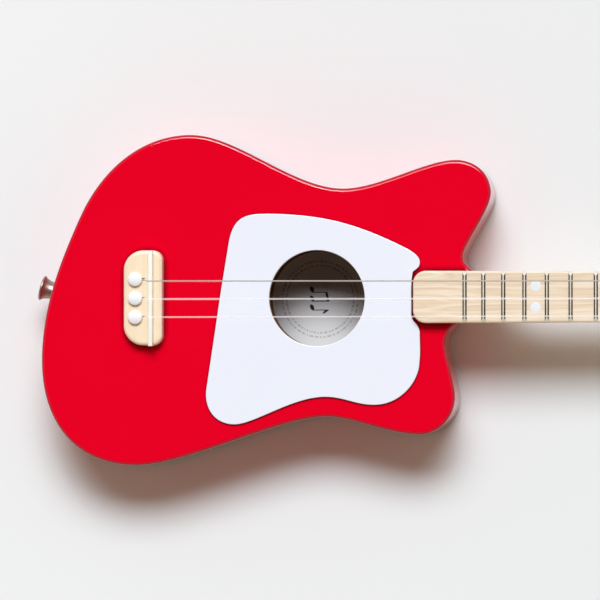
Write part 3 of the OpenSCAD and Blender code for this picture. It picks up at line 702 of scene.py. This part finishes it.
def make_saddle():
    """A bar with a low crown and softly rounded ends."""
    base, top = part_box("saddle")
    half = (top.x - base.x) / 2
    turns = [math.radians(10 * k) for k in range(19)]
    crown = [(half * math.cos(a), top.z - SADDLE_CROWN + SADDLE_CROWN * math.sin(a)) for a in turns]
    profile = crown + [(-half, base.z), (half, base.z)]
    turns = [math.radians(18 * k) for k in range(6)]
    ends = [(SADDLE_END_ROUND * (1 - math.sin(a)), SADDLE_END_ROUND * (1 - math.cos(a))) for a in turns]
    rows = [(base.y + along, inset) for inset, along in ends]
    rows += [(top.y - along, inset) for inset, along in ends[::-1]]
    bm = bmesh.new()
    rings = []
    centre = (top.z + base.z) / 2
    for y, inset in rows:
        share = 1 - inset / half
        tall = 1 - inset / (centre - base.z)
        rings.append([bm.verts.new((x * share, y, centre + (z - centre) * tall)) for x, z in profile])
    join_rows(bm, rings)
    bm.faces.new(rings[0])
    bm.faces.new(rings[-1][::-1])
    piece(bm, "saddle_bar", ["saddle"], [IVORY], sharp=50)


def make_pin(name):
    """A turned pin: tapered shaft with a string groove, a short collar and a domed head."""
    base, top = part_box(name)
    spot = middle(name)
    head = (top.x - base.x) / 2
    skirt = top.z - PIN_HEAD_HEIGHT
    dome = PIN_HEAD_HEIGHT - 2 * PIN_LIP
    radius = (head ** 2 + dome ** 2) / (2 * dome)
    sweep = math.asin(head / radius)
    profile = [(0, base.z), (PIN_TIP_RADIUS - 0.4 * MM, base.z), (PIN_TIP_RADIUS, base.z + 0.4 * MM)]
    profile += [(PIN_RADIUS, BRIDGE_TOP - 0.5 * MM), (PIN_RADIUS, skirt)]
    turns = [math.radians(-90 + 15 * k) for k in range(10)]
    across, level = head - PIN_LIP, skirt + PIN_LIP
    profile += [(across + PIN_LIP * math.cos(a), level + PIN_LIP * math.sin(a)) for a in turns]
    turns = [a for a in (sweep * (1 - k / 12) for k in range(13)) if a < sweep * 0.92]
    profile += [(radius * math.sin(a), top.z - radius + radius * math.cos(a)) for a in turns]
    profile[-1] = (0, top.z)
    bm = bmesh.new()
    lathe(bm, profile, Vector((spot.x, spot.y, 0)), UP, 48)
    groove = bmesh.new()
    block(
        groove, Vector((spot.x + PIN_GROOVE_IN, spot.y - PIN_GROOVE / 2, base.z - MM)),
        Vector((spot.x + 6 * MM, spot.y + PIN_GROOVE / 2, BRIDGE_TOP + 1.25 * MM)))
    bm = cut_away(bm, groove, name + "_blank")
    piece(bm, name + "_turned", [name], [PIN_WHITE], name)


# ---------- neck ----------

BOARD_TOP = high("fretboard").z
NUT_X = low("nut").x
FRET_COUNT = 15
FRET_WIDTH = 2.3 * MM
FRET_HEIGHT = high("frets").z - BOARD_TOP
FRET_BEVEL = 1.9 * MM
FRET_SLOT_HALF = 0.32 * MM
FRET_TANG_HALF = 0.29 * MM
DOT_RADIUS = 2.95 * MM
DOT_GAP = 5.9 * MM
DOT_PROUD = 0.04 * MM
DOT_DEPTH = 0.8 * MM


def fret_x(number):
    return NUT_X * 2 ** (-number / 12)


def board_half(x):
    """Half the width of the fretboard at x, which narrows evenly towards the nut."""
    wide, narrow = high("fretboard").y, high("nut").y + 0.1 * MM
    start = low("fretboard").x
    return wide + (narrow - wide) * (x - start) / (NUT_X - start)


def make_neck():
    """The neck and headstock with carved, softened edges."""
    bm = from_node("neck")
    bmesh.ops.triangulate(bm, faces=bm.faces)
    made = new_object(bm, "neck_timber", [NECK_WOOD])
    voxel = 0.7
    applied(
        made,
        ("REMESH", {"mode": "VOXEL", "voxel_size": voxel * MM}),
        ("SMOOTH", {"factor": 0.5, "iterations": 7}),
        ("DECIMATE", {"ratio": 0.45}))
    made.data.shade_smooth()
    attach(made, ROOT)
    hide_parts("neck")


def make_fretboard():
    """The fretboard: rounded upper edges and the sawn slots that show at its sides."""
    outline = smooth_line(flat_borders("fretboard", low("fretboard").z)[0], 2 * MM)
    edge = [(0, low("fretboard").z)] + rounded_edge(1.1 * MM, BOARD_TOP, 0.4 * MM)
    slots = bmesh.new()
    for number in range(1, FRET_COUNT + 1):
        x = fret_x(number)
        block(
            slots, Vector((x - FRET_SLOT_HALF, -20 * MM, BOARD_TOP - 2 * MM)),
            Vector((x + FRET_SLOT_HALF, 20 * MM, BOARD_TOP + MM)))
    bm = cut_away(board(outline, edge), slots, "fretboard_blank")
    piece(bm, "fretboard_slab", ["fretboard"], [BOARD_WOOD])


def make_frets():
    """Every fret: a crowned bar with long bevels at its ends, and its tang in the slot."""
    radius = (FRET_WIDTH ** 2 / 4 + FRET_HEIGHT ** 2) / (2 * FRET_HEIGHT)
    spread = math.asin(FRET_WIDTH / 2 / radius)
    turns = [spread * (1 - 2 * k / 16) for k in range(17)]
    crown = [(radius * math.sin(a), FRET_HEIGHT - radius + radius * math.cos(a)) for a in turns]
    bm = bmesh.new()
    for number in range(1, FRET_COUNT + 1):
        x = fret_x(number)
        half = board_half(x) - 0.7 * MM
        rows = []
        for side in (-1, 1):
            row = [(side * (half - FRET_BEVEL * z / FRET_HEIGHT), dx, z) for dx, z in crown]
            rows.append([bm.verts.new((x + dx, y, BOARD_TOP + z)) for y, dx, z in row])
        join_rows(bm, rows)
        bm.faces.new(rows[0]).material_index = 1
        bm.faces.new(rows[1][::-1]).material_index = 1
        reach = board_half(x) - 0.4 * MM
        block(
            bm, Vector((x - FRET_TANG_HALF, -reach, BOARD_TOP - 1.6 * MM)),
            Vector((x + FRET_TANG_HALF, reach, BOARD_TOP - 0.02 * MM)), 1)
    # the second colour is the near-black painted shade on the sides of the frets
    tone = fret_metal("nickel_silver", (0.66, 0.59, 0.49), (0.02, 0.014, 0.006), BOARD_TOP, FRET_HEIGHT)
    filed = plastic("filed_silver", (0.74, 0.68, 0.58), (0.66, 0.60, 0.50), 0.5)
    piece(bm, "frets_crowned", ["frets"], [tone, filed])


def make_dots():
    """Position dots, standing a hair above the wood, with a soft rim."""
    spots = [(n, 0) for n in (3, 5, 7, 9)] + [(12, DOT_GAP), (12, -DOT_GAP)]
    base, top = BOARD_TOP - DOT_DEPTH, BOARD_TOP + DOT_PROUD
    profile = [
        (0, base), (DOT_RADIUS, base), (DOT_RADIUS, BOARD_TOP),
        (DOT_RADIUS - 0.05 * MM, BOARD_TOP + DOT_PROUD / 2), (DOT_RADIUS - 0.25 * MM, top), (0, top)]
    bm = bmesh.new()
    for number, y in spots:
        x = (fret_x(number) + fret_x(number - 1)) / 2
        lathe(bm, profile, Vector((x, y, 0)), UP, 40)
    piece(bm, "position_dots_inlaid", ["position_dots"], [DOT_WHITE])


# ---------- strings ----------

STRING_RADIUS = {1: 0.45 * MM, 2: 0.55 * MM, 3: 0.45 * MM}
STRING_TONE = {1: NYLON_GREY, 2: NYLON, 3: NYLON}
STRING_BALL = 1.7 * MM
STRING_MIDDLE = -1.05 * MM
GAP_SADDLE = 10 * MM
GAP_NUT = 9.5 * MM
REST_GAP = 0.03 * MM
WRAP_GAP = 0.08 * MM
POST_RADIUS = 3 * MM
NUT_SLOT = 0.8 * MM


def string_y(number, x):
    return STRING_MIDDLE + (2 - number) * (GAP_SADDLE + (GAP_NUT - GAP_SADDLE) * x / NUT_X)


def string_route(number):
    """Up the pin's groove, over the saddle, straight to the nut, and once round the post."""
    radius = STRING_RADIUS[number]
    pin = middle(f"bridge_pin_{number}")
    post = middle(f"tuner_{number}_post")
    crown = (high("saddle").x - low("saddle").x) / 2
    centre = high("saddle").z - crown
    over = crown + radius + REST_GAP
    nut_floor = high("nut").z - NUT_SLOT
    y = string_y(number, 0)
    x = pin.x + 1.75 * MM
    route = [Vector((x, pin.y, high(f"string_{number}").z - 19 * MM))]
    route += [Vector((x + dx * MM, pin.y, BRIDGE_TOP - dz * MM)) for dx, dz in (
        (0, 2.2), (0.08, 1.7), (0.25, 1.3), (0.55, 0.9), (0.9, 0.5))]
    turns = [math.radians(130 - 4 * k) for k in range(10)]
    route += [Vector((over * math.cos(a), y, centre + over * math.sin(a))) for a in turns]
    rise = nut_floor + radius + REST_GAP
    for dx, dz in ((-0.2, 0), (1, -0.005), (2, -0.02), (3, -0.1), (4, -0.25)):
        route.append(Vector((NUT_X + dx * MM, string_y(number, NUT_X + dx * MM), rise + dz * MM)))
    wrap = POST_RADIUS + radius + WRAP_GAP
    level = high(f"string_{number}_winding").z + WRAP_GAP + radius
    for angle in arc((post.x, post.y), wrap, -90, 160, 40):
        route.append(Vector((angle.x, angle.y, level)))
    return route


def make_string(number):
    """A taut string with the ball that holds it under the bridge. Clear nylon, so it throws no shadow."""
    bm = bmesh.new()
    route = string_route(number)
    tube(bm, route, STRING_RADIUS[number], 14)
    turns = [math.radians(-90 + 15 * k) for k in range(13)]
    profile = [(abs(STRING_BALL * math.cos(a)), STRING_BALL * math.sin(a)) for a in turns]
    profile[0], profile[-1] = (0, -STRING_BALL), (0, STRING_BALL)
    lathe(bm, profile, route[0], UP, 24)
    node = f"string_{number}"
    made = piece(bm, node + "_strand", [node], [STRING_TONE[number]])
    made.visible_shadow = False


def make_winding(number):
    """The turns that ride on the post, as tight smooth rings."""
    base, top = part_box(f"string_{number}_winding")
    centre = (base + top) / 2
    radius = STRING_RADIUS[number]
    bm = bmesh.new()
    for level in (base.z + radius, top.z - radius):
        loop = circle((centre.x, centre.y), POST_RADIUS + radius, 56)
        rows = []
        for point in loop:
            out = Vector((point.x - centre.x, point.y - centre.y, 0)).normalized()
            rows.append(round_row(bm, Vector((point.x, point.y, level)), radius, out, UP, 14))
        join_rows(bm, rows + rows[:1])
    node, body = f"string_{number}_winding", f"tuner_{number}_spindle"
    piece(bm, f"string_{number}_turns", [node], [STRING_TONE[number]], body)


# ---------- tuners ----------

def make_button(number):
    """A moulded tuner button: a collar that swells into a flat crowned oval."""
    node = f"tuner_{number}_button"
    base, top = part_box(node)
    centre = (base + top) / 2
    wide, thick, long = (top.x - base.x) / 2, (top.z - base.z) / 2, top.y - base.y
    shape = [
        Vector(row) for row in (
            (0.30, 0.80, 0.0), (0.33, 0.86, 0.06), (0.42, 0.84, 0.14), (0.74, 0.88, 0.28), (0.95, 0.97, 0.45),
            (1.0, 1.0, 0.62), (0.95, 0.97, 0.8), (0.80, 0.80, 0.93), (0.62, 0.5, 1.0))]
    stations = smooth_line(shape, 0.06, 90, closed=False)
    bm = bmesh.new()
    rows = []
    for across, deep, along in stations:
        row = []
        for k in range(40):
            a = 2 * math.pi * k / 40
            square = [math.copysign(abs(v) ** 0.8, v) for v in (math.cos(a), math.sin(a))]
            x, z = centre.x + wide * across * square[0], centre.z + thick * deep * square[1]
            row.append(bm.verts.new((x, base.y + long * along, z)))
        rows.append(row)
    join_rows(bm, rows)
    bm.faces.new(rows[0])
    bm.faces.new(rows[-1][::-1])
    round_edges(bm, 0.3 * MM, 50)
    body = f"tuner_{number}_key"
    piece(bm, node + "_moulded", [node], [BUTTON_WHITE], body)


def soften(node, name, radius, material, body=ROOT, corner=40):
    """The CAD shape with its edges rounded over."""
    bm = from_node(node)
    round_edges(bm, radius, corner)
    piece(bm, name, [node], [material], body)


# ---------- strap button ----------

STRAP_WAIST = [
    (5.0, 0), (5.0, 0.6), (4.9, 1.2), (4.85, 2.2), (4.95, 3.4), (5.2, 4.6), (5.6, 5.8), (6.1, 6.8),
    (6.6, 7.5)]
STRAP_LIP = 0.8 * MM
SCREW_SEAT = 1.8 * MM
SCREW_HEAD = 3.5 * MM
SCREW_HOLE = 1.9 * MM
FELT_RADIUS = 6 * MM


def make_strap_button():
    """The turned strap button and the felt washer under it, both on the mount's axis."""
    mount = next(m for m in frame["record"]["mounts"] if m["name"] == "strap_button")
    axis = Vector(mount["axis"]).normalized()
    origin = Vector(mount["pos_m"])

    def reach(node):
        along = [(v.co - origin).dot(axis) for v in NODES[node].data.vertices]
        return min(along), max(along)

    foot, face = reach("strap_button")
    head = max(((v.co - origin) - axis * (v.co - origin).dot(axis)).length
               for v in NODES["strap_button"].data.vertices)
    shape = [Vector((r * MM, foot + h * MM)) for r, h in STRAP_WAIST]
    waist = smooth_line(shape, 0.4 * MM, 60, closed=False)
    rim = arc((head - STRAP_LIP, face - 1.0 * MM), STRAP_LIP, -20, 80, 8)
    dish = [(head - 2.2 * MM, face - 0.1 * MM), (4.3 * MM, face - 0.05 * MM), (3.8 * MM, face - 0.3 * MM)]
    seat = face - SCREW_SEAT
    bore = [(SCREW_HEAD, seat), (SCREW_HOLE, seat), (SCREW_HOLE, foot), (5.0 * MM, foot)]
    profile = [tuple(p) for p in waist + rim] + dish + bore
    bm = bmesh.new()
    lathe(bm, profile, origin, axis, 64)
    bmesh.ops.remove_doubles(bm, verts=bm.verts, dist=0.001 * MM)
    piece(bm, "strap_button_turned", ["strap_button"], [NICKEL])

    inner, outer = reach("strap_felt")
    thick = outer - inner
    side = arc((FELT_RADIUS - thick / 2, (inner + outer) / 2), thick / 2, -90, 90, 8)
    profile = [tuple(p) for p in side] + [(2.3 * MM, outer), (2.0 * MM, outer - 0.2 * MM), (2.0 * MM, inner)]
    bm = bmesh.new()
    rows = lathe(bm, profile, origin, axis, 56)
    join_rows(bm, [rows[-1], rows[0]])
    piece(bm, "strap_felt_washer", ["strap_felt"], [FELT])


# ---------- label ----------

def make_label_print():
    """Printed marks: two rings of plain dashes round three music notes."""
    spot = middle("label")
    face = high("label").z
    bottom, top = face - 0.01 * MM, face + 0.03 * MM
    chance = random.Random(7)
    bm = bmesh.new()
    for radius, tall in ((19.0 * MM, 1.0 * MM), (21.4 * MM, 0.9 * MM)):
        angle = 0
        while angle < 352:
            width = chance.uniform(1.6, 6.5)
            outer = arc(spot, radius + tall / 2, angle, angle + width, 3)
            inner = arc(spot, radius - tall / 2, angle + width, angle, 3)
            slab(bm, outer + inner, bottom, top, 1)
            angle += width + chance.uniform(1.6, 3.0)
    note = bmesh.new()
    for x, lift in ((-5.4, 0), (-0.4, 1.1), (4.6, 0.6)):
        turns = [2 * math.pi * k / 24 for k in range(24)]
        heads = [(x + 1.7 * math.cos(a), -4.2 + 1.15 * math.sin(a) + 0.5 * math.cos(a)) for a in turns]
        slab(note, [Vector(p) * MM for p in heads], bottom, top)
        stem = x + 1.5
        bar = [(stem - 0.22, -4), (stem + 0.22, -4), (stem + 0.22, 4.3 + lift), (stem - 0.22, 4.3 + lift)]
        slab(note, [Vector(p) * MM for p in bar], bottom, top)
    beam = [(-4.12, 3.2), (1.32, 4.3), (1.32, 5.6), (-4.12, 4.5)]
    flag = [(5.88, 3.4), (7.9, 1.6), (8.1, 2.7), (6.4, 5.1), (5.88, 5.1)]
    for shape in (beam, flag):
        slab(note, [Vector(p) * MM for p in shape], bottom - 0.002 * MM, top + 0.002 * MM)
    place = Matrix.Translation((spot.x - 0.4 * MM, spot.y, 0))
    note.transform(place @ Matrix.Rotation(math.radians(-90), 4, "Z"))
    merge(bm, note)
    piece(bm, "label_print", [], [INK, PALE_INK])


def dress(node, material):
    """Gives a CAD node its procedural material."""
    mesh = NODES[node].data
    mesh.materials.clear()
    mesh.materials.append(material)


# ---------- build ----------

make_soundboard()
make_back()
make_rim("rim_bass", 1)
make_rim("rim_treble", -1)
make_pickguard()
make_bridge()
make_saddle()
make_neck()
make_fretboard()
make_frets()
make_dots()
make_strap_button()
make_label_print()
for pin_name in PIN_NAMES:
    make_pin(pin_name)
soften("nut", "nut_polished", 0.22 * MM, IVORY)
soften("tuner_bushings", "tuner_bushings_turned", 0.25 * MM, CHROME)
for index in (1, 2, 3):
    make_string(index)
    make_winding(index)
    make_button(index)
    soften(f"tuner_{index}_plate", f"tuner_{index}_bracket", 0.2 * MM, ZINC)
    spindle = f"tuner_{index}_spindle"
    soften(f"tuner_{index}_post", f"tuner_{index}_capstan", 0.2 * MM, CHROME, spindle)
    dress(f"tuner_{index}_worm", ZINC)
    dress(f"tuner_{index}_gear", BRASS)
    dress(f"tuner_{index}_gear_screw", ZINC)
for wooden in (
        "neck_block", "tail_block", "top_lining", "back_lining", "top_braces", "back_braces", "bridge_plate"):
    dress(wooden, INSIDE_WOOD)
dress("label", PAPER)
dress("neck_bolts", ZINC)
dress("neck_inserts", BRASS)
dress("strap_screw", CHROME)
dress("tuner_screws", ZINC)


# ---------- stage, light and camera ----------

FLOOR_DEPTH = 0.15 * MM
FLOOR_HALF = 12
KEY_SIDES = {"key_tail": -0.15, "key_middle": 0.04, "key_head": 0.23}
SKY_RING = (0.53, 0.42, 0.32)
SKY_STOPS = [(0.0, (0.20, 0.16, 0.12)), (0.3, SKY_RING), (0.62, SKY_RING), (0.88, (0.02, 0.02, 0.02))]


def make_floor():
    """A plain pale floor with a painted falloff of light: a little darker towards the neck."""
    bm = bmesh.new()
    corners = [Vector(p) * FLOOR_HALF for p in ((-1, -1), (1, -1), (1, 1), (-1, 1))]
    bm.faces.new(ring(bm, corners, -FLOOR_DEPTH))
    f = Finish("floor", (0.80, 0.80, 0.79), roughness=0.9, specular_ior_level=0.1)
    # painted light falloff: the floor's tone darkens from x = -0.1 m to x = 0.3 m, towards the neck
    across = f.add("ShaderNodeSeparateXYZ", [("Vector", f.place)]).outputs["X"]
    span = f.add("ShaderNodeMapRange", [("Value", across), ("From Min", -0.1), ("From Max", 0.3)])
    tone = f.mix(span.outputs["Result"], (0.86, 0.855, 0.835), (0.785, 0.78, 0.77))
    f.paint(f.mix(f.noise(f.place, 3, 2), tone, (0.80, 0.80, 0.79)))
    new_object(bm, "floor", [f.material])


def make_light():
    """One wide soft key light, made of three that overlap, and a warm sky that is dark straight overhead."""
    for name, side in KEY_SIDES.items():
        sun = bpy.data.lights.new(name, "SUN")
        sun.energy = 1.11
        sun.angle = math.radians(24)
        sun.color = (0.88, 0.97, 1.05)
        key = bpy.data.objects.new(name, sun)
        bpy.context.scene.collection.objects.link(key)
        towards = Vector((side, 0.68, 1))
        key.rotation_euler = towards.to_track_quat("Z", "Y").to_euler()

    world = bpy.data.worlds.new("sky")
    bpy.context.scene.world = world
    world.use_nodes = True
    tree = world.node_tree
    place = tree.nodes.new("ShaderNodeTexCoord")
    parts = tree.nodes.new("ShaderNodeSeparateXYZ")
    tone = tree.nodes.new("ShaderNodeValToRGB")
    tree.links.new(place.outputs["Generated"], parts.inputs["Vector"])
    tree.links.new(parts.outputs["Z"], tone.inputs["Fac"])
    tree.links.new(tone.outputs["Color"], tree.nodes["Background"].inputs["Color"])
    set_stops(tone, SKY_STOPS)


def make_camera():
    """A long lens almost straight above the neck joint, looking a little towards the tail."""
    eye = Vector((348.6, -40.2, 2654.7)) * MM
    aim = Vector((82.5, -1.5, 48)) * MM
    width = 333 * MM
    lens = bpy.data.cameras.new("camera")
    lens.sensor_width = 36
    lens.lens = lens.sensor_width * (aim - eye).length / width
    lens.clip_end = 100
    camera = bpy.data.objects.new("camera", lens)
    bpy.context.scene.collection.objects.link(camera)
    ahead = (aim - eye).normalized()
    right = ahead.cross(Vector((0, 1, 0))).normalized()
    above = right.cross(ahead)
    turn = Matrix((right, above, -ahead)).transposed().to_4x4()
    camera.matrix_world = Matrix.Translation(eye) @ turn
    bpy.context.scene.camera = camera


make_floor()
make_light()
make_camera()
bpy.context.scene.view_settings.view_transform = "Standard"
